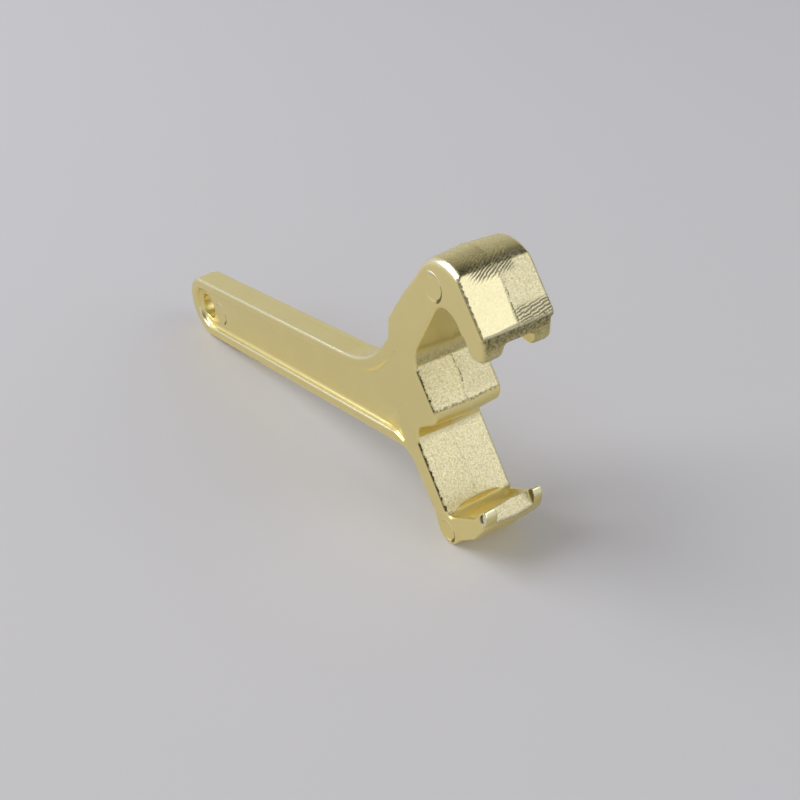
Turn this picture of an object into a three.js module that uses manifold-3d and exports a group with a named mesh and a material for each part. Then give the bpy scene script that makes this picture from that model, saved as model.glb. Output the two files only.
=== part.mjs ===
// Fire hydrant wrench: one casting with a flat recessed handle and a wide double-hook head.
// It is modelled as its natural sections, each a closed solid of its own, with a saw-cut gap
// between neighbours. The profile lies in the X-Z plane, X along the handle towards the head, and
// the thickness runs along Y from the near side. The finished wrench is tilted to rest on its heel
// and on the end of its handle. Millimetres, +Z up.
import * as THREE from 'three';
import { mergeVertices } from 'three/addons/utils/BufferGeometryUtils.js';
import Module from 'manifold-3d';

const wasm = await Module();
wasm.setup();

// ---- driving dimensions ------------------------------------------------------------------------
const HEAD_WIDTH = 32;            // thickness of the head, along Y
const HEAD_PARTING = 16;          // where the two die halves met on the head
const HEAD_DRAFT = 1.0;           // how much the head's outline grows towards its parting line
const HANDLE_THICKNESS = 13.2;    // thickness of the handle, flush with the near side of the head
const HANDLE_PARTING = 9.2;
const HANDLE_DRAFT = 0.4;
const HANDLE_TOP = 27.7;          // profile heights of the handle's two edges
const HANDLE_BOTTOM = -4.4;
const HANDLE_END_X = -209;        // centre of the handle's round end
const RAIL_HEIGHT = 5.3;          // height of each rail beside the recessed web
const RECESS_DEPTH = 3.0;
const HOLE = { x: -210.5, z: 11.0, radius: 6.5 };   // for hanging it up
const HEEL = { x: 2.4, z: -32.8, radius: 7.1 };
const FAR_RECESS_END = -34;       // where the far side's recess stops short of the head
const SAW_GAP = 0.3;              // gap between neighbouring sections
const ARC_STEPS = 5;              // half the number of straight steps in each rounded corner
const MARGIN = 5;                 // how far a cutting tool runs past the metal

const HANDLE_MIDDLE = (HANDLE_TOP + HANDLE_BOTTOM) / 2;
const HANDLE_END_RADIUS = (HANDLE_TOP - HANDLE_BOTTOM) / 2;
const RECESS_RADIUS = HANDLE_END_RADIUS - RAIL_HEIGHT;
const RECESS_TOP = HANDLE_TOP - RAIL_HEIGHT;
const RECESS_BOTTOM = HANDLE_BOTTOM + RAIL_HEIGHT;
const RECESS_END_X = HANDLE_END_X + 1.2;
const NECK_RADIUS = 49;           // sweep from the handle's top edge up into the neck

// The slot between the finger's two teeth, and the one between the claw's two horns.
const FINGER_SLOT = { x: 30, base: 56.5, depth: 12, y: 16.8, widthAtBase: 12.6, widthAtTip: 15 };
const CLAW_SLOT = { y: HEAD_WIDTH / 2, width: 17.6 };
const CLAW_SLOPE = THREE.MathUtils.degToRad(19);
const CLAW_POCKET = { radius: 16, setback: 5, depth: 2.4, above: 3.5 };
const HORN_CHAMFER = { x: 22.5, length: 8, depth: 2.8 };

// ---- profile corners: [x, z, corner radius] ----------------------------------------------------
const NECK_FILLET = [-41.6, HANDLE_TOP, NECK_RADIUS];
const NAPE = [-20.2, 45.6, 4];
const SHOULDER = [-17.4, 54.8, 4];
const LEG_FILLET = [-17.9, HANDLE_BOTTOM, 12];
const FOOT = [4.8, -26.7, 2.4];
const HEAD_FRONT = [
  [21.9, 92.2, 18.4],             // crown
  [35.1, 82.7, 1.5],              // top of the finger's front face
  [46.0, 62.6, 1.5],              // bottom of that face
  [43.2, 50.9, 3.6],              // finger tip
  [36.4, 51.7, 4.0],
  [25.4, 74.6, 8.4],              // apex of the throat
  [-4.0, 41.2, 8.8],              // root of the throat
  [8.8, 16.6, 5.7],               // nose of the inner jaw
  [-11.8, 7.4, 6.4],              // corner under the jaw
  FOOT,                           // foot of the leg's front face
  [22.4, -20.2, 14.0],            // upward bend of the claw
  [29.2, -14.9, 0.8],             // end of the claw
  [29.7, -17.8, 1.6],
  [26.4, -24.8, 5.0],             // underside of the claw
  [20.4, -30.6, 6.0],
  [0.8, -40.8, 6.4],              // heel
];
const HEAD_BACK = [
  [-19.5, -2.0, 6],               // back of the wide part of the head, behind the handle
  [-22.5, 20.0, 12],
  [-20.2, 45.6, 20],
];
const RECESS_AT_HEAD = [
  [-15.6, 41.6, 1.2],
  [-11.1, 27.5, 4.8],
  [-10.9, 21.0, 3.0],
  [-21.4, 11.8, 3.2],
  [-22.9, 6.5, 3.0],
  [-19.6, -2.3, 1.2],
];

// ---- saw cuts between the sections: the two ends of each, in the profile -------------------------
const CUT = {
  eye: [[-190, -12], [-190, 36]],
  upperRail: [[-190, RECESS_TOP], [-60, RECESS_TOP]],
  lowerRail: [[-190, RECESS_BOTTOM], [-60, RECESS_BOTTOM]],
  handle: [[-60, -20], [-60, 50]],
  arm: [[-24, 68], [4, 40]],
  crown: [[-8, 86], [19, 59]],
  finger: [[22, 61], [45, 84]],
  teeth: [[28, FINGER_SLOT.base], [60, FINGER_SLOT.base]],
  jaw: [[-8.2, 4.6], [-0.2, 42]],
  leg: [[-30, -9], [-4, 4]],
  heel: [[-14, -30], [12, -17]],
  claw: [[8.5, -18.75], [8.5, -48]],
  horns: [[24, -11], [31, -29.3]],
};

// ---- shape and solid helpers -------------------------------------------------------------------
function roundedShape(corners) {
  // A closed outline of straight edges whose corners are rounded by true arcs.
  const shape = new THREE.Shape();
  corners.forEach(([x, z, radius], i) => {
    const here = new THREE.Vector2(x, z);
    const last = corners.at(i - 1);
    const next = corners[(i + 1) % corners.length];
    const back = new THREE.Vector2(last[0] - x, last[1] - z).normalize();
    const ahead = new THREE.Vector2(next[0] - x, next[1] - z).normalize();
    const halfAngle = Math.acos(back.dot(ahead)) / 2;
    const run = radius / Math.tan(halfAngle);
    const start = here.clone().addScaledVector(back, run);
    if (i === 0) shape.moveTo(start.x, start.y);
    else shape.lineTo(start.x, start.y);
    if (radius === 0) return;
    const middle = back.clone().add(ahead).normalize();
    const centre = here.clone().addScaledVector(middle, radius / Math.sin(halfAngle));
    const end = here.clone().addScaledVector(ahead, run);
    const from = start.sub(centre).angle();
    const to = end.sub(centre).angle();
    shape.absarc(centre.x, centre.y, radius, from, to, back.cross(ahead) > 0);
  });
  shape.closePath();
  return shape;
}

function circleShape(x, z, radius) {
  return new THREE.Shape().absarc(x, z, radius, 0, 2 * Math.PI, false);
}

function polygonShape(points) {
  return new THREE.Shape(points.map(([x, y]) => new THREE.Vector2(x, y)));
}

function toSolid(geometry) {
  geometry.deleteAttribute('normal');
  geometry.deleteAttribute('uv');
  const merged = mergeVertices(geometry, 1e-4);
  return new wasm.Manifold(new wasm.Mesh({
    numProp: 3,
    vertProperties: new Float32Array(merged.attributes.position.array),
    triVerts: new Uint32Array(merged.index.array),
  }));
}

function prism(shape, yNear, yFar) {
  // The outline, drawn in the profile plane, with thickness from yNear to yFar.
  const geometry = new THREE.ExtrudeGeometry(shape, {
    depth: yFar - yNear, bevelEnabled: false, curveSegments: ARC_STEPS,
  });
  geometry.rotateX(Math.PI / 2);
  geometry.translate(0, yFar, 0);
  return toSolid(geometry);
}

function dieHalf(shape, faceY, partingY, growth) {
  // One die half: the outline on its face, wider by growth at the parting line.
  const run = Math.abs(partingY - faceY);
  const geometry = new THREE.ExtrudeGeometry(shape, {
    depth: run, bevelThickness: run, bevelSize: growth, bevelSegments: 1, curveSegments: ARC_STEPS,
  });
  geometry.rotateX(Math.PI / 2);
  geometry.translate(0, faceY < partingY ? partingY + run : partingY, 0);
  const slab = polygonShape([[-300, -100], [100, -100], [100, 150], [-300, 150]]);
  return toSolid(geometry).intersect(
    prism(slab, Math.min(faceY, partingY), Math.max(faceY, partingY)));
}

function casting(shape, near, parting, far, growth) {
  return dieHalf(shape, near, parting, growth).add(dieHalf(shape, far, parting, growth));
}

// ---- the casting -------------------------------------------------------------------------------
function handlePlate() {
  const farEnd = HANDLE_END_X - HANDLE_END_RADIUS;
  const round = HANDLE_END_RADIUS * 0.999;
  const outline = roundedShape([
    [farEnd, HANDLE_TOP, round], NECK_FILLET, NAPE, SHOULDER, [-4, 46, 2], [-12, 8, 4],
    [-8, -24, 2], LEG_FILLET, [farEnd, HANDLE_BOTTOM, round],
  ]);
  return casting(outline, 0, HANDLE_PARTING, HANDLE_THICKNESS, HANDLE_DRAFT);
}

function headBlock() {
  const outline = roundedShape([SHOULDER, ...HEAD_FRONT, ...HEAD_BACK]);
  const boss = prism(circleShape(HEEL.x, HEEL.z, HEEL.radius), 0, HEAD_WIDTH);
  return casting(outline, 0, HEAD_PARTING, HEAD_WIDTH, HEAD_DRAFT).add(boss);
}

function nearRecess() {
  const farEnd = RECESS_END_X - RECESS_RADIUS;
  const round = RECESS_RADIUS * 0.999;
  const outline = roundedShape([
    [farEnd, RECESS_TOP, round], [-39.7, RECESS_TOP, NECK_RADIUS + RAIL_HEIGHT],
    ...RECESS_AT_HEAD, [-27.2, RECESS_BOTTOM, 6], [farEnd, RECESS_BOTTOM, round],
  ]);
  return prism(outline, -MARGIN, RECESS_DEPTH);
}

function farRecess() {
  // The far side of the handle is cored out as well, as far as the wide part of the head.
  const farEnd = RECESS_END_X - RECESS_RADIUS;
  const round = RECESS_RADIUS * 0.999;
  const outline = roundedShape([
    [farEnd, RECESS_TOP, round], [FAR_RECESS_END, RECESS_TOP, 6],
    [FAR_RECESS_END, RECESS_BOTTOM, 6], [farEnd, RECESS_BOTTOM, round],
  ]);
  return prism(outline, HANDLE_THICKNESS - RECESS_DEPTH, HANDLE_THICKNESS + MARGIN);
}

function hangingHole() {
  return prism(circleShape(HOLE.x, HOLE.z, HOLE.radius), -MARGIN, HANDLE_THICKNESS + MARGIN);
}

function fingerSlot() {
  // Drawn in Y-Z and run through the finger tip along X.
  const { x, base, depth, y, widthAtBase, widthAtTip } = FINGER_SLOT;
  const geometry = new THREE.ExtrudeGeometry(polygonShape([
    [y - widthAtTip / 2, base - depth], [y + widthAtTip / 2, base - depth],
    [y + widthAtBase / 2, base], [y - widthAtBase / 2, base],
  ]), { depth: 30, bevelEnabled: false });
  geometry.applyMatrix4(new THREE.Matrix4().makeBasis(
    new THREE.Vector3(0, 1, 0), new THREE.Vector3(0, 0, 1), new THREE.Vector3(1, 0, 0)));
  return toSolid(geometry.translate(x, 0, 0));
}

function clawSlot() {
  const [[topX, topZ], [lowX, lowZ]] = CUT.horns;
  const front = polygonShape([[topX, topZ], [lowX, lowZ], [60, lowZ], [60, topZ]]);
  const half = CLAW_SLOT.width / 2;
  return prism(front, CLAW_SLOT.y - half, CLAW_SLOT.y + half);
}

function clawPocket() {
  // A shallow round pocket in the top of the claw, against the foot of the leg.
  const { radius, setback, depth, above } = CLAW_POCKET;
  const along = new THREE.Vector3(Math.cos(CLAW_SLOPE), 0, Math.sin(CLAW_SLOPE));
  const up = new THREE.Vector3(-Math.sin(CLAW_SLOPE), 0, Math.cos(CLAW_SLOPE));
  const geometry = new THREE.CylinderGeometry(radius, radius, depth + above, 48);
  geometry.translate(-setback, (above - depth) / 2, 0);
  geometry.applyMatrix4(new THREE.Matrix4().makeBasis(along, up, new THREE.Vector3(0, -1, 0)));
  geometry.translate(FOOT[0], HEAD_WIDTH / 2, FOOT[1]);
  const clearOfLeg = polygonShape([[-6.4, -6], [10.3, -40.2], [50, -40.2], [50, -6]]);
  return toSolid(geometry).intersect(prism(clearOfLeg, 0, HEAD_WIDTH));
}

function hornChamfers() {
  // The claw's near and far front corners, cut back in plan.
  const { x, length, depth } = HORN_CHAMFER;
  const end = x + length;
  const wedge = points => toSolid(
    new THREE.ExtrudeGeometry(polygonShape(points), { depth: 30, bevelEnabled: false })
      .translate(0, 0, -40));
  const near = wedge([[x, -1], [end, -1], [end, depth], [x, 0]]);
  const far = wedge([
    [x, HEAD_WIDTH], [end, HEAD_WIDTH - depth], [end, HEAD_WIDTH + 1], [x, HEAD_WIDTH + 1],
  ]);
  return near.add(far);
}

function sawKerfs() {
  const kerfs = Object.values(CUT).map(([[x0, z0], [x1, z1]]) => {
    const side = new THREE.Vector2(z0 - z1, x1 - x0).setLength(SAW_GAP / 2);
    return prism(polygonShape([
      [x0 + side.x, z0 + side.y], [x0 - side.x, z0 - side.y],
      [x1 - side.x, z1 - side.y], [x1 + side.x, z1 + side.y],
    ]), -MARGIN, HEAD_WIDTH + MARGIN);
  });
  return kerfs.reduce((all, kerf) => all.add(kerf));
}

function sawnCasting() {
  return handlePlate().add(headBlock())
    .subtract(nearRecess())
    .subtract(farRecess())
    .subtract(hangingHole())
    .subtract(fingerSlot())
    .subtract(clawSlot())
    .subtract(clawPocket())
    .subtract(hornChamfers())
    .subtract(sawKerfs());
}

// ---- sections: the part of the profile that each one fills, and its stretch of the thickness ----
const WHOLE = [-MARGIN, HEAD_WIDTH + MARGIN];
const NEAR = [-MARGIN, HEAD_WIDTH / 2];
const FAR = [HEAD_WIDTH / 2, HEAD_WIDTH + MARGIN];
const TEETH_AREA = [...CUT.teeth, [60, 45], [28, 45]];
const HORNS_AREA = [...CUT.horns, [40, -29.3], [40, -11]];

const SECTIONS = {
  hanging_eye: [[...CUT.eye.toReversed(), [-240, -12], [-240, 36]], WHOLE],
  handle_upper_rail: [[...CUT.upperRail, [-60, 50], [-190, 50]], WHOLE],
  handle_web: [[...CUT.lowerRail, ...CUT.upperRail.toReversed()], WHOLE],
  handle_lower_rail: [[...CUT.lowerRail, [-60, -20], [-190, -20]], WHOLE],
  neck: [[...CUT.handle.toReversed(), ...CUT.leg, ...CUT.jaw, ...CUT.arm.toReversed()], WHOLE],
  upper_arm: [[...CUT.arm, ...CUT.crown.toReversed()], WHOLE],
  hook_crown: [[...CUT.crown, ...CUT.finger, [45, 100], [-8, 100]], WHOLE],
  hook_finger: [[...CUT.finger, [60, 84], ...CUT.teeth.toReversed()], WHOLE],
  finger_tooth_near: [TEETH_AREA, NEAR],
  finger_tooth_far: [TEETH_AREA, FAR],
  inner_jaw: [[...CUT.jaw, [20, 42], [20, 4.6]], WHOLE],
  leg: [[...CUT.leg, ...CUT.heel.toReversed()], WHOLE],
  heel: [[CUT.heel[0], CUT.claw[0], CUT.claw[1], [-14, -48]], WHOLE],
  claw: [[CUT.claw[0], ...CUT.horns, [31, -48], CUT.claw[1]], WHOLE],
  claw_horn_near: [HORNS_AREA, NEAR],
  claw_horn_far: [HORNS_AREA, FAR],
};

function goldCasting() {
  return new THREE.MeshStandardMaterial({ color: 0xcdc07a, roughness: 0.38, metalness: 0.85 });
}

function sectionMesh(whole, name, area, [near, far]) {
  const { numProp, vertProperties, triVerts } = whole
    .intersect(prism(polygonShape(area), near, far)).getMesh();
  const geometry = new THREE.BufferGeometry();
  const positions = new Float32Array(vertProperties);
  geometry.setAttribute('position', new THREE.BufferAttribute(positions, numProp));
  geometry.setIndex([...triVerts]);
  geometry.computeVertexNormals();
  const mesh = new THREE.Mesh(geometry, goldCasting());
  mesh.name = name;
  return mesh;
}

// ---- resting pose ------------------------------------------------------------------------------
function restingTilt() {
  // The angle at which the heel and the handle's round end touch one level floor.
  const run = HEEL.x - HANDLE_END_X;
  const drop = HANDLE_MIDDLE - HEEL.z;
  const radiusStep = HANDLE_END_RADIUS + HANDLE_DRAFT - HEEL.radius;
  return Math.atan2(drop, run) - Math.asin(radiusStep / Math.hypot(run, drop));
}

function hydrantWrench() {
  const whole = sawnCasting();
  const wrench = new THREE.Group();
  for (const [name, [area, span]] of Object.entries(SECTIONS)) {
    wrench.add(sectionMesh(whole, name, area, span));
  }
  wrench.rotation.y = -restingTilt();
  const box = new THREE.Box3().setFromObject(wrench, true);
  const middle = box.getCenter(new THREE.Vector3());
  wrench.position.set(-middle.x, -middle.y, -box.min.z);
  return wrench;
}

export default hydrantWrench();
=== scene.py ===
"""Fire hydrant wrench: the looks. One gold casting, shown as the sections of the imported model.

The casting is described once, as a signed distance in its own frame (millimetres: X along the
handle towards the head, Y from the near side, Z up the profile), and turned into one closed mesh
for each section. Neighbouring sections share their outer vertices, so no joint shows between them.
"""
import math

import bpy
import numpy as np
from mathutils import Matrix, Vector


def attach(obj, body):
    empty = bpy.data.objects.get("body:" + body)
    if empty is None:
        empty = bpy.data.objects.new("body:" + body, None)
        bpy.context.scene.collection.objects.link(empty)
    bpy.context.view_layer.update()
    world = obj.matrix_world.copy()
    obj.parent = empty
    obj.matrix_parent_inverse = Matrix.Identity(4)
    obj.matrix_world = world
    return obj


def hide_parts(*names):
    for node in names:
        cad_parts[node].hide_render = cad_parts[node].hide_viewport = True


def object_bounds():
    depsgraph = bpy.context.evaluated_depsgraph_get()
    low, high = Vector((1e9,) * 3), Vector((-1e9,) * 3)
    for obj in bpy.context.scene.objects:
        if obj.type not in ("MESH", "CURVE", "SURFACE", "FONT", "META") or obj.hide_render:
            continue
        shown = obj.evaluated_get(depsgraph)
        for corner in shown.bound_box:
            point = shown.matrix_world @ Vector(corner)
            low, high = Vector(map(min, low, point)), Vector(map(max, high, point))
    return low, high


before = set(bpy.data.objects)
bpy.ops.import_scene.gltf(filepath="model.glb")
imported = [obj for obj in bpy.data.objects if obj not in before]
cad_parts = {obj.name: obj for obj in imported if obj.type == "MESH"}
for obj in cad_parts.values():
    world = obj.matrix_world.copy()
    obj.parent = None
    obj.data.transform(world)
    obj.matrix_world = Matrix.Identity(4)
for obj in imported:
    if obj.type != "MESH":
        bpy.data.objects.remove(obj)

size_at_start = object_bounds()

# ---- sizes of the casting, in millimetres --------------------------------------------------------
GRID = 0.5
X_NODES = np.arange(-228.0, 49.0, GRID)
Y_NODES = np.arange(-1.5, 34.0, GRID)
Z_NODES = np.arange(-43.0, 92.0, GRID)

HEAD_WIDTH = 32.0
HEAD_MIDDLE = HEAD_WIDTH / 2
HEAD_DRAFT = 1.0
HANDLE_THICKNESS = 13.2
HANDLE_PARTING = 9.2
HANDLE_DRAFT = 0.4
HANDLE_TOP = 27.7
HANDLE_BOTTOM = -4.4
HANDLE_END_X = -209.0
HANDLE_MIDDLE = (HANDLE_TOP + HANDLE_BOTTOM) / 2
HANDLE_END_RADIUS = (HANDLE_TOP - HANDLE_BOTTOM) / 2
RAIL_HEIGHT = 5.3
RECESS_TOP = HANDLE_TOP - RAIL_HEIGHT
RECESS_BOTTOM = HANDLE_BOTTOM + RAIL_HEIGHT
RECESS_END_X = HANDLE_END_X + 1.2
RECESS_DEPTH = 3.0
FAR_RECESS_END = -34.0
NECK_RADIUS = 49.0
CLAW_SLOPE = math.radians(19)
TOOTH_TOP = 56.5
CLAW_SLOT_HALF_WIDTH = 8.8
HORN_NICK_X = 27.7

# Round features: x, z and radius. FOOT is the point where the leg meets the top of the claw.
HOLE = (-210.5, 11.0, 6.5)
HEEL = (2.4, -32.8, 7.1)
FOOT = (4.8, -26.7)

# Edge radii. The crown has more than the rest of the head, above all on the near side.
HANDLE_EDGE = 1.5
HEAD_EDGE = 1.3
CROWN_EXTRA_NEAR = 1.5
CROWN_EXTRA_FAR = 0.3
WORKING_EDGE = 0.35
TIP_EDGE = 2.6

# Profile corners: x, z and corner radius.
NECK = [(-41.6, HANDLE_TOP, NECK_RADIUS), (-20.2, 45.6, 4), (-17.4, 54.8, 4)]
HEAD_FRONT = [
    (21.9, 92.2, 18.4), (35.1, 82.7, 1.5), (46.0, 62.6, 1.5), (43.2, 50.9, 3.6),
    (36.4, 51.7, 4.0), (25.4, 74.6, 8.4), (-4.0, 41.2, 8.8), (8.8, 16.6, 5.7),
    (-11.8, 7.4, 6.4), (*FOOT, 2.4), (22.4, -20.2, 14.0), (28.6, -15.1, 0.4),
    (30.0, -17.9, 0.9), (26.4, -24.8, 5.0), (20.4, -30.6, 6.0), (0.8, -40.8, 6.4),
]
HEAD_BACK = [(-19.5, -2.0, 6), (-22.5, 20.0, 12), (-20.2, 45.6, 20)]
HANDLE_ROOT = [(-4, 46, 2), (-12, 8, 4), (-8, -24, 2), (-17.9, HANDLE_BOTTOM, 12)]
RECESS_AT_HEAD = [
    (-15.6, 41.6, 1.2), (-11.1, 27.5, 4.8), (-10.9, 21.0, 3.0), (-21.4, 11.8, 3.2),
    (-22.9, 6.5, 3.0), (-19.6, -2.3, 1.2), (-27.2, RECESS_BOTTOM, 6),
]

# The working faces, as stretches of the profile.
FINGER_FACE = ((35.1, 82.7), (46.0, 62.6))
JAW_FACE = ((-1.0, 35.6), (6.6, 21.0))
LEG_FACE = ((-9.0, 1.6), (3.4, -23.9))

# Ejector pin marks: x, z, radius and the height of the face that they are in.
PIN_MARKS = [(18.3, 75.5, 5.5, 0.0), (2.8, -33.6, 4.4, 0.0), (-196.5, 10.3, 5.3, RECESS_DEPTH)]

# Straight cuts between sections: two points of the profile each.
EYE_END_X = -190
NECK_START_X = -60
CLAW_START_X = 8.5
CUTS = {
    "eye": ((EYE_END_X, 36), (EYE_END_X, -12)),
    "upper_rail": ((EYE_END_X, RECESS_TOP), (NECK_START_X, RECESS_TOP)),
    "lower_rail": ((EYE_END_X, RECESS_BOTTOM), (NECK_START_X, RECESS_BOTTOM)),
    "handle": ((NECK_START_X, 50), (NECK_START_X, -20)),
    "arm": ((-24, 68), (4, 40)),
    "crown": ((-8, 86), (19, 59)),
    "finger": ((22, 61), (45, 84)),
    "teeth": ((28, TOOTH_TOP), (60, TOOTH_TOP)),
    "jaw": ((-0.2, 42), (-8.2, 4.6)),
    "leg": ((-30, -9), (-4, 4)),
    "heel": ((-14, -30), (12, -17)),
    "claw": ((CLAW_START_X, -18.75), (CLAW_START_X, -48)),
    "horns": ((24, -11), (31, -29.3)),
}

# The sections by number. Number 0 is the air round the casting.
SECTIONS = [
    "air", "hanging_eye", "handle_upper_rail", "handle_web", "handle_lower_rail", "neck",
    "upper_arm", "hook_crown", "hook_finger", "finger_tooth_near", "finger_tooth_far", "inner_jaw",
    "leg", "heel", "claw", "claw_horn_near", "claw_horn_far",
]

# The cut that each pair of neighbours shares.
BORDERS = {
    ("hanging_eye", "handle_upper_rail"): "eye",
    ("hanging_eye", "handle_web"): "eye",
    ("hanging_eye", "handle_lower_rail"): "eye",
    ("handle_upper_rail", "handle_web"): "upper_rail",
    ("handle_web", "handle_lower_rail"): "lower_rail",
    ("handle_upper_rail", "neck"): "handle",
    ("handle_web", "neck"): "handle",
    ("handle_lower_rail", "neck"): "handle",
    ("neck", "upper_arm"): "arm",
    ("upper_arm", "hook_crown"): "crown",
    ("hook_crown", "hook_finger"): "finger",
    ("hook_finger", "finger_tooth_near"): "teeth",
    ("hook_finger", "finger_tooth_far"): "teeth",
    ("neck", "inner_jaw"): "jaw",
    ("neck", "leg"): "leg",
    ("leg", "heel"): "heel",
    ("heel", "claw"): "claw",
    ("claw", "claw_horn_near"): "horns",
    ("claw", "claw_horn_far"): "horns",
}


# ---- the profile in two dimensions ---------------------------------------------------------------
def rounded_outline(corners):
    """A closed outline of straight edges, with its corners rounded by arcs."""
    points = []
    for i, (x, z, radius) in enumerate(corners):
        here = np.array((x, z))
        back = np.array(corners[i - 1][:2]) - here
        ahead = np.array(corners[(i + 1) % len(corners)][:2]) - here
        back = back / np.linalg.norm(back)
        ahead = ahead / np.linalg.norm(ahead)
        half = math.acos(float(back @ ahead)) / 2
        middle = (back + ahead) / np.linalg.norm(back + ahead)
        centre = here + middle * radius / math.sin(half)
        spread = math.pi / 2 - half
        side = math.copysign(1, back[0] * ahead[1] - back[1] * ahead[0])
        toward = math.atan2(-middle[1], -middle[0])
        for t in np.linspace(-1, 1, 2 + int(spread / 0.05)):
            angle = toward - side * spread * t
            points.append(centre + radius * np.array((math.cos(angle), math.sin(angle))))
    return np.array(points)


def round_end(middle_x, top, bottom, rest):
    """The corners of an outline that starts and ends with a half-round end about middle_x."""
    radius = (top - bottom) / 2
    end = middle_x - radius
    corner = radius * 0.999  # a little under, so that the two arcs don't quite meet
    return [(end, top, corner), *rest, (end, bottom, corner)]


def outline_distance(points):
    """Signed distance to a closed outline at every node of the profile grid, negative inside."""
    nearest = np.full(X.shape, 1e9)
    inside = np.zeros(X.shape, bool)
    for (ax, az), (bx, bz) in zip(points, np.roll(points, -1, axis=0)):
        ex, ez = bx - ax, bz - az
        px, pz = X - ax, Z - az
        t = np.clip((px * ex + pz * ez) / (ex * ex + ez * ez), 0, 1)
        nearest = np.minimum(nearest, (px - ex * t) ** 2 + (pz - ez * t) ** 2)
        inside ^= ((az > Z) != (bz > Z)) & (px < ex * pz / (ez or 1))
    return np.where(inside, -1, 1) * np.sqrt(nearest)


def segment_distance(segment, x, z):
    """Distance to a straight stretch of the profile."""
    (ax, az), (bx, bz) = segment
    ex, ez = bx - ax, bz - az
    t = np.clip(((x - ax) * ex + (z - az) * ez) / (ex * ex + ez * ez), 0, 1)
    return np.hypot(x - ax - ex * t, z - az - ez * t)


def line_distance(line, x, z):
    """Signed distance to an endless straight line, positive to the left of its direction."""
    (ax, az), (bx, bz) = line
    length = math.hypot(bx - ax, bz - az)
    return ((bx - ax) * (z - az) - (bz - az) * (x - ax)) / length


def ramp(low, high, value):
    """0 at low and 1 at high, smooth between; low may be the larger of the two."""
    t = np.clip((value - low) / (high - low), 0, 1)
    return t * t * (3 - 2 * t)


def working_mask(x, z, fades_out=3.0, solid=1.6):
    """1 beside the working faces' stretches of the profile, fading to 0 away from them."""
    faces = (FINGER_FACE, JAW_FACE, LEG_FACE)
    nearest = np.min([segment_distance(face, x, z) for face in faces], axis=0)
    return ramp(fades_out, solid, nearest)


def down_finger(x, z):
    """How far down the finger's front face a point of the profile is, in millimetres."""
    (ax, az), (bx, bz) = FINGER_FACE
    length = math.hypot(bx - ax, bz - az)
    return ((bx - ax) * (x - ax) + (bz - az) * (z - az)) / length


def waviness(x, z, wavelength, seed):
    """A smooth irregular ripple between about -1 and 1, made of a few sines."""
    dice = np.random.default_rng(seed)
    total = np.zeros(np.shape(x))
    for _ in range(5):
        turn = dice.uniform(0, math.pi)
        scale = 2 * math.pi / (wavelength * dice.uniform(0.6, 1.8))
        phase = dice.uniform(0, 2 * math.pi)
        total = total + np.sin(scale * (x * math.cos(turn) + z * math.sin(turn)) + phase)
    return total / 2.5


def head_parting(x, z):
    """Where the die halves met: mid-head, wandering a little on the working faces."""
    return HEAD_MIDDLE + 0.45 * waviness(x, z, 14.0, 5) * working_mask(x, z)


# ---- solids, as signed distances in a slice of the casting ---------------------------------------
# y is the slice's height over the near side. The third argument of meet, join and cut is the radius
# that rounds the new edge.
def meet(a, b, radius):
    """What both solids fill, with the edge between them rounded."""
    over = np.hypot(np.maximum(a + radius, 0), np.maximum(b + radius, 0))
    return np.minimum(np.maximum(a, b) + radius, 0) + over - radius


def join(a, b, radius):
    """What either solid fills, with the corner between them filleted."""
    return -meet(-a, -b, radius)


def cut(body, tool, radius):
    """The body without the tool, with the new edge rounded."""
    return meet(body, -tool, radius)


def plate(outline, y, parting, width, draft, edge):
    """A drafted plate, with its die halves a little out of line and flash where they met."""
    run = np.where(y < parting, parting, width - parting)
    growth = draft * (1 - np.abs(y - parting) / run)
    flash = 0.10 * np.exp(-(((y - parting) / 0.55) ** 2))
    mismatch = 0.07 * np.tanh((y - parting) / 0.5)
    face = np.abs(y - width / 2) - width / 2
    return meet(outline - growth - flash - mismatch, face + np.zeros(outline.shape), edge)


def above_claw(x, z):
    """How far along the top of the claw a point is from the foot of the leg, and how high."""
    dx, dz = x - FOOT[0], z - FOOT[1]
    cosine, sine = math.cos(CLAW_SLOPE), math.sin(CLAW_SLOPE)
    return dx * cosine + dz * sine, dz * cosine - dx * sine


def claw_bowl(y):
    """How deep the bowl in the top of the claw is. It runs up a little into the foot of the leg."""
    along, up = above_claw(X, Z)
    away = ((along - up - 6.9) / 10.3) ** 2 + ((y - HEAD_MIDDLE) / 14.6) ** 4
    return 2.0 * ramp(0, 0.8, 1 - away) * ramp(-7, -5, up) * ramp(-7, -5, along)


def head_slice(y):
    """The head: a plate with a bowl in its claw and a round heel."""
    crown_extra = CROWN_EXTRA_NEAR if y < HEAD_MIDDLE else CROWN_EXTRA_FAR
    sharp = np.where(Z > 58, ramp(-1, 2.5, down_finger(X, Z)), 1)
    edge = HEAD_EDGE + crown_extra * ramp(66, 80, Z)
    edge = edge + (WORKING_EDGE - edge) * WORKING * sharp
    edge = edge + (TIP_EDGE - edge) * ramp(61.5, 59.5, Z) * ramp(30, 33, X)
    body = plate(HEAD + claw_bowl(y), y, HEAD_PARTING, HEAD_WIDTH, HEAD_DRAFT, edge)
    x, z, radius = HEEL
    heel = np.hypot(X - x, Z - z) - radius
    sides = np.full(X.shape, abs(y - HEAD_MIDDLE) - HEAD_MIDDLE)
    return join(body, meet(heel, sides, 0.9), 1.2)


def near_recess(y):
    """The near side's recess, shallower and with a smaller fillet towards the head."""
    at_head = ramp(-60, -14, X) * ramp(-4, 14, Z)
    depth = RECESS_DEPTH - 2.2 * np.maximum(at_head, 0.85 * ramp(-38, -20, X))
    fillet = 2.0 - 1.3 * np.maximum(at_head, ramp(-44, -30, X))
    return meet(NEAR_RECESS + (0.12 + 0.1 * at_head) * y, y - depth, fillet)


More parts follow.
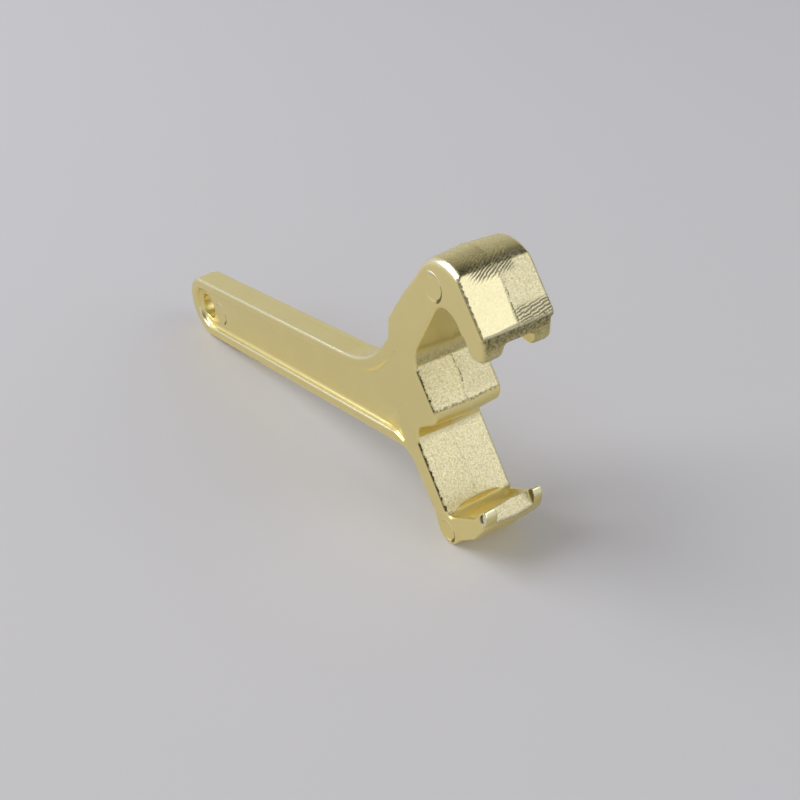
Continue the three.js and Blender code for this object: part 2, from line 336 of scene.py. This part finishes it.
def far_recess(y):
    below_face = HANDLE_THICKNESS - y
    return meet(FAR_RECESS + 0.12 * below_face, np.full(X.shape, below_face - RECESS_DEPTH), 1.5)


def finger_slot(y):
    """The gap between the two teeth at the tip of the finger, a little wider at its mouth."""
    below_top = TOOTH_TOP - Z
    near_wall = 10.5 - 0.1 * below_top
    far_wall = 23.1 + 0.1 * below_top
    walls = np.maximum(near_wall - y, y - far_wall)
    return np.maximum(meet(walls, -below_top, 1.4), 30 - X)


def claw_slot(y):
    """The gap between the claw's two horns."""
    beyond = line_distance(CUTS["horns"], X, Z)
    sides = np.full(X.shape, abs(y - HEAD_MIDDLE) - CLAW_SLOT_HALF_WIDTH)
    return np.maximum(meet(-beyond, sides, 0.7), Z + 8)


def horn_nick(y):
    """A torn notch across the near top edge of the near horn."""
    return np.maximum.reduce([np.abs(X - HORN_NICK_X) - 0.4, np.full(X.shape, y - 1.7),
                              np.abs(Z + 16.0) - 4.0])


def horn_chamfer(inward, start):
    """The slanting outer side of a horn, from start along x; inward is the depth from its side."""
    return np.where(Z < -8, (X - start) * 0.33 - inward * 0.944, -50.0)


def pin_mark(mark, y):
    """A shallow disc that the ejector pin left, a little out of level with the face."""
    x, z, radius, face = mark
    level = face + 0.36 + 0.30 * (X - x) / radius
    return meet(np.hypot(X - x, Z - z) - radius, y - level, 0.1)


def casting_slice(y):
    """The whole casting at height y."""
    edge = np.full(X.shape, HANDLE_EDGE)
    handle = plate(HANDLE, y, HANDLE_PARTING, HANDLE_THICKNESS, HANDLE_DRAFT, edge)
    body = join(head_slice(y), handle, 0.01 + 2.0 * ramp(5, 10, y))
    body = cut(body, near_recess(y), 0.6 + 0.5 * ramp(-24, -34, X))
    body = cut(body, far_recess(y), 0.6)
    body = cut(body, np.hypot(X - HOLE[0], Z - HOLE[1]) - HOLE[2], 0.7)
    body = cut(body, finger_slot(y), 1.3)
    body = cut(body, claw_slot(y), 0.5)
    body = meet(body, horn_chamfer(y, 25.8), 1.0)
    body = meet(body, horn_chamfer(HEAD_WIDTH - y, 22.5), 1.0)
    body = cut(body, horn_nick(y), 0.15)
    for mark in PIN_MARKS:
        body = cut(body, pin_mark(mark, y), 0.08)
    return body


# ---- one closed mesh per section -----------------------------------------------------------------
def side(name):
    """Which side of a cut each node of the profile is on: positive to the left."""
    return line_distance(CUTS[name], X, Z)


def section_of_profile():
    """The section that fills each node of the profile, the near one where two share it."""
    handle = X < NECK_START_X
    claw = (X > CLAW_START_X) & (side("leg") < 0)
    tests = [
        (X < EYE_END_X, "hanging_eye"),
        (handle & (Z > RECESS_TOP), "handle_upper_rail"),
        (handle & (Z < RECESS_BOTTOM), "handle_lower_rail"),
        (handle, "handle_web"),
        (claw & (side("horns") > 0), "claw_horn_near"),
        (claw, "claw"),
        ((side("heel") < 0) & (Z < -10), "heel"),
        ((side("leg") < 0) & (X > -40) & (Z < 14), "leg"),
        ((side("jaw") > 0) & (Z < 42), "inner_jaw"),
        ((Z < TOOTH_TOP) & (X > 28), "finger_tooth_near"),
        ((side("finger") < 0) & (X > 10), "hook_finger"),
        (side("crown") > 0, "hook_crown"),
        (side("arm") > 0, "upper_arm"),
    ]
    numbers = [SECTIONS.index(name) for _, name in tests]
    found = np.select([test for test, _ in tests], numbers, SECTIONS.index("neck"))
    return found.astype(np.int8)


def label_nodes(field):
    """0 in air, else the number of the section that the grid node is in."""
    labels = np.where(field < 0, section_of_profile()[:, None, :], 0).astype(np.int8)
    far = Y_NODES[None, :, None] > HEAD_MIDDLE
    for near_name in ("finger_tooth_near", "claw_horn_near"):
        number = SECTIONS.index(near_name)
        labels = np.where(far & (labels == number), number + 1, labels).astype(np.int8)
    return labels


CORNERS = np.array([(i, j, k) for i in (0, 1) for j in (0, 1) for k in (0, 1)])
CELL_EDGES = [(a, b) for a in range(8) for b in range(a + 1, 8)
              if np.abs(CORNERS[a] - CORNERS[b]).sum() == 1]
ORIGIN = np.array((X_NODES[0], Y_NODES[0], Z_NODES[0]))


def corner_values(grid, cells):
    """The values at the eight corners of each cell."""
    return np.stack([grid[tuple((cells + c).T)] for c in CORNERS], axis=1)


def sample(field, points):
    """The distance at any points, read between the grid's nodes."""
    at = (points - ORIGIN) / GRID
    cells = np.clip(np.floor(at).astype(int), 0, np.array(field.shape) - 2)
    part = (at - cells)[:, None, :]
    weights = np.prod(np.where(CORNERS[None] == 1, part, 1 - part), axis=2)
    return (corner_values(field, cells) * weights).sum(axis=1)


def slope(field, points, reach=0.6 * GRID):
    """The field's gradient at any points. On the skin it points outward."""
    steps = np.eye(3) * reach
    parts = [sample(field, points + s) - sample(field, points - s) for s in steps]
    return np.stack(parts, axis=1) / (2 * reach)


def mixed_cells(labels):
    """The grid cells whose corners aren't all in the same section or all in air."""
    n = np.array(labels.shape) - 1
    views = [labels[i:i + n[0], j:j + n[1], k:k + n[2]] for i, j, k in CORNERS]
    return np.argwhere(np.minimum.reduce(views) != np.maximum.reduce(views))


def first_guess(field, cells):
    """The mean of the points where the cell's edges pass through the surface."""
    values = corner_values(field, cells)
    total = np.zeros((len(cells), 3))
    count = np.zeros(len(cells))
    for a, b in CELL_EDGES:
        crosses = (values[:, a] < 0) != (values[:, b] < 0)
        t = values[:, a] / np.where(crosses, values[:, a] - values[:, b], 1)
        point = CORNERS[a] + t[:, None] * (CORNERS[b] - CORNERS[a])
        total += np.where(crosses[:, None], point, 0)
        count += crosses
    inner = np.where(count[:, None] > 0, total / np.maximum(count, 1)[:, None], 0.5)
    return ORIGIN + GRID * (cells + inner), count > 0


def onto_surface(field, points, limit=0.4 * GRID):
    """Moves the points towards where the distance is 0, by no more than the limit."""
    gradient = slope(field, points)
    size = np.maximum((gradient ** 2).sum(axis=1), 0.2)
    move = -(sample(field, points) / size)[:, None] * gradient
    return points + np.clip(move, -limit, limit)


def onto_cuts(points, corner_labels, limit=0.9 * GRID):
    """Moves the points between two sections onto the straight cut between them."""
    high = corner_labels.max(axis=1)
    low = np.where(corner_labels > 0, corner_labels, 99).min(axis=1)
    moved = points.copy()
    for (one, two), name in BORDERS.items():
        pair = sorted((SECTIONS.index(one), SECTIONS.index(two)))
        pick = (low == pair[0]) & (high == pair[1])
        (ax, az), (bx, bz) = CUTS[name]
        normal = np.array((az - bz, bx - ax)) / math.hypot(bx - ax, bz - az)
        away = line_distance(CUTS[name], points[pick, 0], points[pick, 2])
        step = -np.clip(away, -limit, limit)
        moved[pick, 0] += step * normal[0]
        moved[pick, 2] += step * normal[1]
    return moved


def place_vertices(field, labels, cells):
    """One vertex for each mixed cell, and whether it is on the casting's own skin."""
    corner_labels = corner_values(labels, cells)
    points, outer = first_guess(field, cells)
    for _ in range(3):
        points[outer] = onto_surface(field, points[outer])
        points = onto_cuts(points, corner_labels)
    return points, outer


def all_quads(labels, cells):
    """Every face between two unlike grid nodes: its four cells, and the section on each side."""
    number = np.full(labels.shape, -1, np.int32)
    number[tuple(cells.T)] = np.arange(len(cells))
    quads, below, above = [], [], []
    for axis in range(3):
        u, v = np.eye(3, dtype=int)[(axis + 1) % 3], np.eye(3, dtype=int)[(axis + 2) % 3]
        lower = np.take(labels, range(labels.shape[axis] - 1), axis)
        upper = np.take(labels, range(1, labels.shape[axis]), axis)
        at = np.argwhere(lower != upper)
        ring = [at - u - v, at - v, at, at - u]
        quads.append(np.stack([number[tuple(c.T)] for c in ring], axis=1))
        below.append(lower[tuple(at.T)])
        above.append(upper[tuple(at.T)])
    return np.concatenate(quads), np.concatenate(below), np.concatenate(above)


def section_faces(number, quads, below, above):
    """One section's faces, turned outward, and whether each lies on the casting's own skin."""
    out, back = below == number, above == number
    faces = np.concatenate([quads[out], quads[back][:, ::-1]])
    skin = np.concatenate([above[out] == 0, below[back] == 0])
    return faces, skin


def to_row(points):
    """From the casting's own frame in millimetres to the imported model's in metres."""
    return (points @ TILT.T + SHIFT) / 1000


def face_normals(points, faces):
    a, b, c, d = (points[faces[:, i]] for i in range(4))
    normal = np.cross(c - a, d - b)
    return normal / np.maximum(np.linalg.norm(normal, axis=1, keepdims=True), 1e-12)


# ---- what the metal reads at each vertex ---------------------------------------------------------
# The limits of the ramps are places in the casting's own frame, in millimetres, or parts of a
# normal. rim is 1 where the skin faces along the profile and 0 on the flat near and far sides.
def under_arch(x, y, z):
    """1 below the arch where the bowl of the claw runs up into the leg."""
    up = above_claw(x, z)[1]
    arch = 3.2 * np.sqrt(np.clip(1 - ((y - HEAD_MIDDLE) / 14.0) ** 2, 0, 1))
    return 1 - ramp(-0.4, 0.3, up - arch)


def face_mask(x, y, z, rim):
    """1 on the finger's front, the front of the jaw and the leg down to the arch."""
    foot = ramp(12, 6, z) * under_arch(x, y, z)
    under_jaw = ramp(21.6, 20.4, z) * ramp(10, 12, z)
    return rim * working_mask(x, z) * (1 - foot) * (1 - under_jaw)


def slot_masks(x, y, z, rim):
    """The floor and the far wall of the slot between the horns."""
    claw = ramp(-10, -12, z)
    beyond = line_distance(CUTS["horns"], x, z)
    floor = rim * claw * ramp(0.9, 0.4, np.abs(beyond)) * ramp(7.0, 7.6, y) * ramp(25.0, 24.4, y)
    wall = claw * ramp(0.2, 0.8, beyond) * ramp(23.9, 24.5, y) * ramp(27, 26, y) * (1 - rim)
    return floor, wall


def bowl_mask(x, y, z, normals, rim):
    """1 in the bowl of the claw, where its painted bounce light goes."""
    along, up = above_claw(x, z)
    facing = ramp(0.25, 0.35, normals[:, 2] + normals[:, 0])
    inside = ramp(-6, -4, up) * ramp(-5, -3, along) * ramp(24, 20, along)
    return under_arch(x, y, z) * inside * rim * facing


def gloss_highlight_mask(x, y, z, normals, soft_rim):
    """Where near edges get a painted highlight, a whiter colour, and a glossier finish: round the
    crown, along the rails and on the horns.
    """
    near_edge = ramp(0.15, 0.35, -normals[:, 1]) * ramp(0.98, 0.85, -normals[:, 1])
    crown = 0.75 * ramp(70, 76, z) * ramp(6, 3, y)
    rails = 0.7 * ramp(-24, -30, x) * ramp(2.0, 1.2, y)
    horn_tops = soft_rim * ramp(28.0, 28.7, x) * ramp(-18.2, -17.4, z)
    near_horn = near_edge * ramp(23.2, 23.8, x) * ramp(-22, -21, z) * ramp(2.4, 1.8, y)
    return np.maximum(near_edge * ramp(0.1, 0.3, normals[:, 2]) * (crown + rails),
                      0.7 * ramp(-10, -12, z) * np.maximum(horn_tops, near_horn))


def skin_masks(points, normals):
    """Masks from 0 to 1, and the two distances that the file marks and the parting line follow."""
    x, y, z = points.T
    sideways = np.abs(normals[:, 1])
    rim = 1 - ramp(0.25, 0.55, sideways)
    soft_rim = 1 - ramp(0.15, 0.85, sideways)
    down = down_finger(x, z)
    face = face_mask(x, y, z, rim)
    slot_floor, slot_wall = slot_masks(x, y, z, rim)
    blasted = np.maximum(face, slot_floor)

    finger = ramp(56, 58, z) * ramp(20, 26, x)
    smooth_half = finger * ramp(16.6, 15.4, y)
    crown = rim * ramp(-16, -8, down) * ramp(1, 0, down) * ramp(64, 70, z)
    tip = soft_rim * ramp(62.4, 61.4, z) * ramp(36, 39, x)
    throat = rim * ramp(46, 37, z) * ramp(32, 34, z) * ramp(-11, -9, x) * (1 - face)
    hollow = (rim * ramp(0.2, 0.5, normals[:, 0]) * ramp(40, 46, z)
              * ramp(22, 18, x) * ramp(-20, -14, x))
    far_jaw = face * ramp(14.5, 17.5, y) * ramp(22, 24, z) * ramp(50, 48, z)
    nick = (ramp(-10, -12, z) * ramp(0.9, 0.5, np.abs(x - HORN_NICK_X))
            * ramp(2.0, 1.6, y) * ramp(-20.5, -19.5, z))

    jaw_tear = ramp(1.8, 0.2, np.abs(z - 21.0)) * ramp(0, 2, x) * ramp(16, 19, z)
    finger_tear = ramp(1.8, 0.2, np.abs(down - 22.4)) * finger * ramp(14, 18, y)
    upper_marks = ramp(-6, -3, down) * ramp(6, 2, down) * ramp(3, 10, y) * ramp(25, 21, y)
    lower_marks = ramp(16, 18.5, down) * ramp(24, 22.5, down) * ramp(14, 18, y)
    sand = [blasted * (1 - 0.15 * finger - 0.55 * smooth_half), 0.6 * crown, tip, 0.8 * throat]
    # Painted shade: the tip facing down, a band of the crown next to the finger's face, the far
    # wall of the horns' slot, the throat, the near half of the finger, the nick, the hollow of the
    # hook, the far half of the jaw and the far edges of the working faces.
    shade = [
        tip * (0.3 + 0.45 * ramp(53, 61, z)),
        0.72 * crown * ramp(-5.5, -1.0, down),
        0.9 * slot_wall,
        0.6 * throat,
        0.11 * smooth_half * face,
        0.85 * nick,
        0.22 * hollow,
        0.11 * far_jaw,
        0.6 * face * ramp(31.0, 31.5, y),
    ]
    return {
        "front": blasted,
        "gloss_highlight": gloss_highlight_mask(x, y, z, normals, soft_rim),
        "tear": rim * np.maximum(jaw_tear, finger_tear),
        # The bowl gets a warmer gold: painted bounce light between the horns and the leg.
        "bowl_bounce": bowl_mask(x, y, z, normals, rim) * (1 - slot_floor),
        "edge": working_mask(x, z, 1.15, 0.4) * ramp(3, 2, y) * (1 - 0.35 * finger),
        "sand": np.maximum.reduce(sand),
        "shade": np.maximum.reduce(shade),
        "filed": rim * finger * np.maximum(upper_marks, lower_marks),
        "slant": down + y * (0.58 - 0.40 * ramp(4, 14, down)),
        "line": face * (0.15 + 0.55 * ramp(4, 12, z) + 0.3 * ramp(26, 30, z)),
        "seam": np.abs(y - head_parting(x, z)),
    }


# ---- the pieces ----------------------------------------------------------------------------------
def section_object(name, points, normals, faces, skin):
    """A closed mesh for one section, with smooth normals on the skin and flat ones on the cuts."""
    used, local = np.unique(faces, return_inverse=True)
    local = local.reshape(faces.shape)
    mesh = bpy.data.meshes.new(name + "_metal")
    mesh.from_pydata(to_row(points[used]), [], local.tolist())
    flat = face_normals(points, faces)[:, None, :].repeat(4, axis=1)
    corner = np.where(skin[:, None, None], normals[faces], flat)
    mesh.normals_split_custom_set((corner.reshape(-1, 3) @ TILT.T).tolist())
    add_attribute(mesh, "cast", "FLOAT_VECTOR", points[used])
    for mask, values in skin_masks(points[used], normals[used]).items():
        add_attribute(mesh, mask, "FLOAT", values)
    piece = bpy.data.objects.new(name + "_metal", mesh)
    bpy.context.scene.collection.objects.link(piece)
    return piece


def add_attribute(mesh, name, kind, values):
    attribute = mesh.attributes.new(name, kind, "POINT")
    key = "vector" if kind == "FLOAT_VECTOR" else "value"
    attribute.data.foreach_set(key, np.asarray(values, np.float32).ravel())


def build_casting(material):
    field = np.stack([casting_slice(y) for y in Y_NODES], axis=1)
    labels = label_nodes(field)
    cells = mixed_cells(labels)
    points, outer = place_vertices(field, labels, cells)
    normals = slope(field, points)
    normals /= np.maximum(np.linalg.norm(normals, axis=1, keepdims=True), 1e-9)
    quads, below, above = all_quads(labels, cells)
    for number, name in enumerate(SECTIONS[1:], start=1):
        faces, skin = section_faces(number, quads, below, above)
        piece = section_object(name, points, normals, faces, skin)
        piece.data.materials.append(material)
        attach(piece, "root")
        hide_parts(name)


# ---- metal ---------------------------------------------------------------------------------------
def node(tree, kind, inputs=None, **settings):
    """Adds a shader node. Inputs are given as values or as other nodes' output sockets."""
    made = tree.nodes.new(kind)
    for key, value in settings.items():
        setattr(made, key, value)
    for key, value in (inputs or {}).items():
        if isinstance(value, bpy.types.NodeSocket):
            tree.links.new(value, made.inputs[key])
        else:
            made.inputs[key].default_value = value
    return made


def calc(tree, operation, a, b=0.0):
    return node(tree, "ShaderNodeMath", {0: a, 1: b}, operation=operation).outputs[0]


def step_up(tree, value, low, high):
    """0 below low, 1 above high, smooth between; falls instead if high is the smaller."""
    swap = high < low
    limits = {"Value": value, "From Min": min(low, high), "From Max": max(low, high),
              "To Min": 1.0 if swap else 0.0, "To Max": 0.0 if swap else 1.0}
    made = node(tree, "ShaderNodeMapRange", limits, interpolation_type="SMOOTHSTEP")
    return made.outputs["Result"]


def grain(tree, place, scale, detail=3.0, roughness=0.6):
    made = node(tree, "ShaderNodeTexNoise",
                {"Vector": place, "Scale": scale, "Detail": detail, "Roughness": roughness})
    return made.outputs["Fac"]


def attribute(tree, name):
    return node(tree, "ShaderNodeAttribute", attribute_name=name)


def product(tree, *factors):
    total = factors[0]
    for factor in factors[1:]:
        total = calc(tree, "MULTIPLY", total, factor)
    return total


def blend(tree, factor, first, second):
    made = node(tree, "ShaderNodeMix", {"Factor": factor, "A": first, "B": second},
                data_type="RGBA")
    return made.outputs["Result"]


def file_marks(tree, place, slant, filed):
    """Ridges of the slanting file marks on the finger's front face."""
    wander = product(tree, grain(tree, place, 0.3, 2.0), 1.6)
    phase = product(tree, calc(tree, "ADD", slant, wander), 2.5)
    return product(tree, calc(tree, "ABSOLUTE", calc(tree, "SINE", phase)), filed)


def torn_edge(tree, place, mask):
    """The thin, torn line along the near edge of each working face."""
    y = node(tree, "ShaderNodeSeparateXYZ", {"Vector": place}).outputs[1]
    reach = product(tree, calc(tree, "SUBTRACT", grain(tree, place, 0.6, 4.0, 0.7), 0.38), 4.0)
    return product(tree, step_up(tree, calc(tree, "SUBTRACT", y, reach), 0.15, -0.1), mask["edge"])


def pin_rings(tree, place):
    """The dark and the bright crescent at the wall of each ejector pin mark: painted shadow and
    painted highlight, the bright one also raised a little in the bump.
    """
    split = node(tree, "ShaderNodeSeparateXYZ", {"Vector": place})
    x, y, z = (split.outputs[i] for i in range(3))
    shadow, shine = 0.0, 0.0
    for px, pz, radius, face in PIN_MARKS:
        from_x = calc(tree, "SUBTRACT", x, px)
        from_z = calc(tree, "SUBTRACT", z, pz)
        away = calc(tree, "SQRT", calc(tree, "ADD", product(tree, from_x, from_x),
                                       product(tree, from_z, from_z)))
        off_wall = calc(tree, "ABSOLUTE", calc(tree, "SUBTRACT", away, radius + 0.15))
        near_face = step_up(tree, y, face + 1.2, face + 0.8)
        ring = product(tree, step_up(tree, off_wall, 0.85, 0.5), near_face)
        right = product(tree, ring, step_up(tree, from_x, 0.5, 2.5))
        low = step_up(tree, from_z, 2.2, 1.0)
        shadow = calc(tree, "MAXIMUM", shadow, product(tree, right, low))
        upper = product(tree, ring, step_up(tree, from_z, 1.5, 3.0), step_up(tree, from_x, -2.5, 0))
        shine = calc(tree, "MAXIMUM", shine, upper)
    return shadow, shine


MASKS = ("front", "gloss_highlight", "bowl_bounce", "edge", "tear", "sand", "shade", "filed", "slant", "line",
         "seam")

# The metal's tones, linear.
GOLD_DEEP = (0.91, 0.775, 0.33, 1.0)
GOLD_LIGHT = (0.97, 0.845, 0.39, 1.0)
# Painted bounce light in the bowl of the claw.
GOLD_PAINTED_BOUNCE = (1.0, 0.84, 0.34, 1.0)
# The blasted working faces: paler, partly as a painted highlight.
GOLD_PALE = (0.96, 0.88, 0.55, 1.0)
# Painted highlight: the near edges and the glints of the grain.
GOLD_PAINTED_HIGHLIGHT = (1.0, 0.95, 0.70, 1.0)
# Painted highlight of the pin rings.
GOLD_SHINE = (1.0, 0.97, 0.80, 1.0)
# Painted shade in the pits of the blasted grain.
PIT_SHADE = (0.42, 0.34, 0.12, 1.0)
# Painted shade.
SHADE = (0.13, 0.11, 0.03, 1.0)
# Torn edges, parting marks and file furrows, and the painted shadow of the pin rings.
MARKS_AND_SHADOW = (0.05, 0.04, 0.01, 1.0)


def skin_marks(tree, place, mask):
    """What was filed, torn, blasted or pressed into the skin, from 0 to 1, with painted shade,
    shadow and highlights.
    """
    grit = grain(tree, place, 1.15, 5.0, 0.75)
    ridges = file_marks(tree, place, mask["slant"], mask["filed"])
    broken = product(tree, calc(tree, "SUBTRACT", grain(tree, place, 1.1, 4.0, 0.7), 0.52), 4.0)
    ragged = product(tree, grain(tree, place, 0.7, 4.0), 1.4)
    mottle = product(tree, calc(tree, "SUBTRACT", grain(tree, place, 0.9, 4.0, 0.7), 0.5),
                     mask["sand"], 3.0)
    torn_away = step_up(tree, calc(tree, "ADD", mask["tear"], broken), 0.75, 1.0)
    on_parting = step_up(tree, calc(tree, "ADD", mask["seam"], ragged), 1.0, 0.65)
    shadow, shine = pin_rings(tree, place)
    return {
        "grit": product(tree, grit, mask["sand"]),
        # Painted shade in the grain's pits and painted highlights on its glints.
        "pits": product(tree, step_up(tree, grit, 0.50, 0.40), mask["sand"]),
        "glints": product(tree, step_up(tree, grit, 0.53, 0.62), mask["sand"]),
        "ridges": ridges,
        "furrows": product(tree, calc(tree, "SUBTRACT", mask["filed"], ridges), 0.9),
        "torn": torn_edge(tree, place, mask),
        "lower_tear": product(tree, torn_away, mask["tear"]),
        "parting": product(tree, on_parting, mask["line"]),
        "shade": product(tree, mask["shade"], calc(tree, "ADD", mottle, 1.0)),
        "shadow": shadow,
        "shine": shine,
    }


def relief(tree, place, marks):
    """The fine relief of the skin, in millimetres, as a bump."""
    height = product(tree, grain(tree, place, 0.55, 4.0), 0.030)
    parts = (product(tree, marks["grit"], 0.25), product(tree, grain(tree, place, 3.2, 2.0), 0.012),
             product(tree, marks["ridges"], 0.22), product(tree, marks["torn"], -0.3),
             product(tree, marks["parting"], -0.12), product(tree, marks["shine"], 0.2))
    for part in parts:
        height = calc(tree, "ADD", height, part)
    return node(tree, "ShaderNodeBump", {"Height": height, "Distance": 0.001, "Strength": 1.0})


def gold_metal():
    """Blasted gold casting with painted highlights, shade, shadow and bounce light: the one
    material of the wrench.
    """
    material = bpy.data.materials.new("gold_casting_metal")
    material.use_nodes = True
    tree = material.node_tree
    tree.nodes.clear()
    place = attribute(tree, "cast").outputs["Vector"]
    mask = {name: attribute(tree, name).outputs["Fac"] for name in MASKS}
    marks = skin_marks(tree, place, mask)

    # dark: torn edges, parting marks, file furrows and lower tears, with the painted shadow of the
    # pin rings.
    dark = marks["torn"]
    for name, strength in (("parting", 0.7), ("shadow", 0.85), ("furrows", 0.6),
                           ("lower_tear", 0.6)):
        dark = calc(tree, "MAXIMUM", dark, product(tree, marks[name], strength))
    color = blend(tree, grain(tree, place, 0.06, 3.0), GOLD_DEEP, GOLD_LIGHT)
    layers = (
        (mask["bowl_bounce"], GOLD_PAINTED_BOUNCE),
        (mask["front"], GOLD_PALE),
        (mask["gloss_highlight"], GOLD_PAINTED_HIGHLIGHT),
        (product(tree, marks["glints"], 0.9), GOLD_PAINTED_HIGHLIGHT),
        (product(tree, marks["pits"], 0.34), PIT_SHADE),
        (marks["shade"], SHADE),
        (marks["shine"], GOLD_SHINE),
        (product(tree, dark, 0.95), MARKS_AND_SHADOW),
    )
    for cover, tone in layers:
        color = blend(tree, cover, color, tone)

    smoother = product(tree, calc(tree, "MAXIMUM", mask["sand"], mask["gloss_highlight"]), 0.09)
    rougher = product(tree, calc(tree, "MAXIMUM", dark, mask["bowl_bounce"]), 0.25)
    dull = calc(tree, "ADD", 0.26, product(tree, grain(tree, place, 0.8, 3.0), 0.10))
    dull = calc(tree, "ADD", calc(tree, "SUBTRACT", dull, smoother), rougher)
    shader = node(tree, "ShaderNodeBsdfPrincipled", {
        "Base Color": color, "Roughness": dull, "Metallic": 1.0,
        "Normal": relief(tree, place, marks).outputs["Normal"]})
    output = node(tree, "ShaderNodeOutputMaterial", {"Surface": shader.outputs["BSDF"]})
    output.is_active_output = True
    return material


# ---- floor, light and camera ---------------------------------------------------------------------
FLOOR_REACH = 4.0
LIGHT_AIM = (0.09, 0.0, 0.06)
LIGHT_DISTANCE = 3.0


def make_floor():
    mesh = bpy.data.meshes.new("floor")
    sides = ((-1, -1), (1, -1), (1, 1), (-1, 1))
    corners = [(FLOOR_REACH * x, FLOOR_REACH * y, 0) for x, y in sides]
    mesh.from_pydata(corners, [], [(0, 1, 2, 3)])
    floor = bpy.data.objects.new("floor", mesh)
    bpy.context.scene.collection.objects.link(floor)
    material = bpy.data.materials.new("pale_floor")
    material.use_nodes = True
    shader = material.node_tree.nodes["Principled BSDF"]
    shader.inputs["Base Color"].default_value = (0.80, 0.79, 0.81, 1.0)
    shader.inputs["Roughness"].default_value = 0.9
    shader.inputs["Specular IOR Level"].default_value = 0.1
    mesh.materials.append(material)


def make_world():
    """A grey room: mid grey round the horizon and darker overhead."""
    world = bpy.data.worlds.new("studio")
    world.use_nodes = True
    tree = world.node_tree
    tree.nodes.clear()
    place = node(tree, "ShaderNodeTexCoord").outputs["Generated"]
    up = node(tree, "ShaderNodeSeparateXYZ", {"Vector": place}).outputs[2]
    tone = node(tree, "ShaderNodeMix", {
        "Factor": step_up(tree, up, 0.25, 0.85), "A": (0.60, 0.60, 0.61, 1.0),
        "B": (0.18, 0.18, 0.19, 1.0)}, data_type="RGBA")
    shade = node(tree, "ShaderNodeBackground", {"Color": tone.outputs["Result"], "Strength": 1.0})
    node(tree, "ShaderNodeOutputWorld", {"Surface": shade.outputs["Background"]})
    bpy.context.scene.world = world


def softbox(name, direction, size, power):
    """A square area light that faces the head of the wrench."""
    light = bpy.data.lights.new(name, "AREA")
    light.shape = "RECTANGLE"
    light.size = size
    light.size_y = size
    light.energy = power
    lamp = bpy.data.objects.new(name, light)
    away = Vector(direction).normalized()
    lamp.location = Vector(LIGHT_AIM) + away * LIGHT_DISTANCE
    lamp.rotation_euler = away.to_track_quat("Z", "Y").to_euler()
    bpy.context.scene.collection.objects.link(lamp)


def make_camera():
    """Looks down the wrench's head, over the near side, a little rolled."""
    eye = to_row(np.array((367.04, -214.32, 227.28)))
    ahead = TILT @ np.array((-0.78998, 0.43941, -0.42762))
    up = TILT @ np.array((-0.28653, 0.35202, 0.89106))
    right = np.cross(ahead, up)
    camera = bpy.data.objects.new("camera", bpy.data.cameras.new("camera"))
    camera.data.lens = 55.0
    camera.data.sensor_width = 36.0
    camera.data.dof.use_dof = False
    turn = Matrix(np.stack([right, up, -ahead], axis=1).tolist()).to_4x4()
    camera.matrix_world = Matrix.Translation(eye.tolist()) @ turn
    bpy.context.scene.collection.objects.link(camera)
    bpy.context.scene.camera = camera


# ---- build ---------------------------------------------------------------------------------------
def resting_place():
    """The turn and the move that set the casting down on its heel and the end of its handle."""
    run = HEEL[0] - HANDLE_END_X
    drop = HANDLE_MIDDLE - HEEL[1]
    end_radius = HANDLE_END_RADIUS + HANDLE_DRAFT
    radius_step = end_radius - HEEL[2]
    tilt = math.atan2(drop, run) - math.asin(radius_step / math.hypot(run, drop))
    cosine, sine = math.cos(tilt), math.sin(tilt)
    turn = np.array(((cosine, 0, -sine), (0, 1, 0), (sine, 0, cosine)))
    left_edge = cosine * HANDLE_END_X - sine * HANDLE_MIDDLE - end_radius
    move = np.array((size_at_start[0].x * 1000 - left_edge, -HEAD_MIDDLE,
                     HEEL[2] - sine * HEEL[0] - cosine * HEEL[1]))
    return turn, move


X, Z = np.meshgrid(X_NODES, Z_NODES, indexing="ij")
HEAD = outline_distance(rounded_outline([NECK[2], *HEAD_FRONT, *HEAD_BACK]))
HANDLE = outline_distance(rounded_outline(
    round_end(HANDLE_END_X, HANDLE_TOP, HANDLE_BOTTOM, [*NECK, *HANDLE_ROOT])))
NEAR_RECESS = outline_distance(rounded_outline(
    round_end(RECESS_END_X, RECESS_TOP, RECESS_BOTTOM,
              [(-39.7, RECESS_TOP, NECK_RADIUS + RAIL_HEIGHT), *RECESS_AT_HEAD])))
FAR_RECESS = outline_distance(rounded_outline(
    round_end(RECESS_END_X, RECESS_TOP, RECESS_BOTTOM,
              [(FAR_RECESS_END, RECESS_TOP, 6), (FAR_RECESS_END, RECESS_BOTTOM, 6)])))
WORKING = working_mask(X, Z)
HEAD_PARTING = head_parting(X, Z)

TILT, SHIFT = resting_place()

build_casting(gold_metal())
make_floor()
make_world()
softbox("key", (0.72, 0.41, 0.57), size=2.0, power=12.1)
softbox("fill", (-0.55, -0.55, 0.74), size=2.4, power=44.0)
make_camera()
bpy.context.scene.view_settings.view_transform = "Standard"
